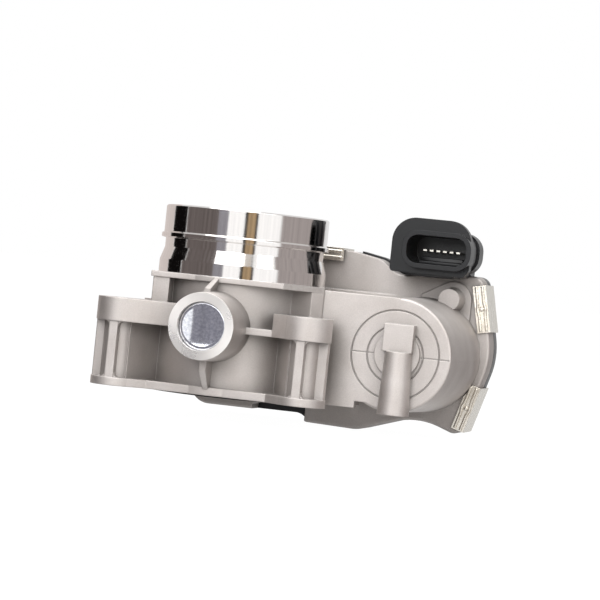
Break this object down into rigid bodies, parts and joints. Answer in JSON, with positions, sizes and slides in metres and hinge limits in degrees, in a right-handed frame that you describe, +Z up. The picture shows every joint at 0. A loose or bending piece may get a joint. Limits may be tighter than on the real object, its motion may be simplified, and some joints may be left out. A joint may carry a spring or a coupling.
{
  "type": "electronic throttle body",
  "caption": "Die-cast throttle body with a hose spigot, a lobed bolt flange, a plate on a cross shaft, and a geared motor under a clipped plastic cover with a connector socket.",
  "frame": {"origin": "where the bore's axis meets the flange's sealing face", "axes": "+Z up the bore to the hose spigot, +X from the bore to the motor, +Y along the throttle shaft to the gear cover"},
  "size_m": [0.1341, 0.112, 0.0824],
  "materials": {
    "cast_aluminium": "bead-blasted die casting, machined where it seals",
    "ground_steel": "ground",
    "plate_alloy": "turned",
    "zinc_steel": "zinc plated",
    "bearing_steel": "ground",
    "black_rubber": "matte",
    "seal_rubber": "matte",
    "pressed_steel": "pressed, slightly mottled",
    "gear_nylon": "moulded, natural colour",
    "ferrite": "sintered",
    "spring_steel": "drawn wire",
    "clip_steel": "stamped",
    "sintered_bronze": "sintered",
    "lamination_steel": "stamped stack",
    "copper_wire": "enamelled wire",
    "copper": "turned",
    "dark_plastic": "moulded",
    "carbon": "pressed",
    "tinned_brass": "tin plated",
    "pinion_brass": "cut",
    "black_plastic": "moulded, glass filled",
    "circuit_board": "solder mask"
  },
  "bodies": {
    "housing": {"throttle_housing": "cast_aluminium", "front_needle_bearing": "bearing_steel", "rear_ball_bearing": "bearing_steel", "front_shaft_seal": "black_rubber", "rear_shaft_seal": "black_rubber", "shaft_end_plug": "pressed_steel", "return_spring": "spring_steel", "stop_screw": "zinc_steel", "idler_pin": "ground_steel", "wave_washer": "spring_steel", "motor_can": "pressed_steel", "motor_rear_bush": "sintered_bronze", "motor_front_bush": "sintered_bronze", "motor_magnets": "ferrite", "motor_end_plate": "dark_plastic", "motor_brushes": "carbon", "motor_screws": "zinc_steel", "motor_terminals": "tinned_brass", "gear_cover": "black_plastic", "connector_pins": "tinned_brass", "sensor_board": "circuit_board", "cover_gasket": "black_rubber", "cover_clips": "clip_steel", "flange_seal": "seal_rubber"},
    "throttle": {"throttle_shaft": "ground_steel", "throttle_plate": "plate_alloy", "plate_screws": "zinc_steel", "sector_gear": "gear_nylon", "sensor_magnet": "ferrite"},
    "idler": {"idler_gear": "gear_nylon"},
    "rotor": {"motor_shaft": "ground_steel", "armature_core": "lamination_steel", "armature_windings": "copper_wire", "commutator": "copper", "motor_pinion": "pinion_brass"}
  },
  "joints": [
    {"name": "throttle_turn", "type": "hinge", "parent": "housing", "child": "throttle", "pos_m": [0, 0, 0.025], "axis": [0, 1, 0], "range_deg": [-4, 80], "stiffness_Nm_per_rad": 0.2},
    {"name": "idler_spin", "type": "hinge", "parent": "housing", "child": "idler", "pos_m": [0.03702, 0, 0.02671], "axis": [0, 1, 0], "range_deg": [-190, 10]},
    {"name": "rotor_spin", "type": "hinge", "parent": "housing", "child": "rotor", "pos_m": [0.065, 0, 0.0215], "axis": [0, 1, 0], "range_deg": [-36, 707]}
  ],
  "couplings": [
    {"joint": "idler_spin", "follows": "throttle_turn", "ratio": -2.3636},
    {"joint": "rotor_spin", "follows": "throttle_turn", "ratio": 8.8242}
  ]
}
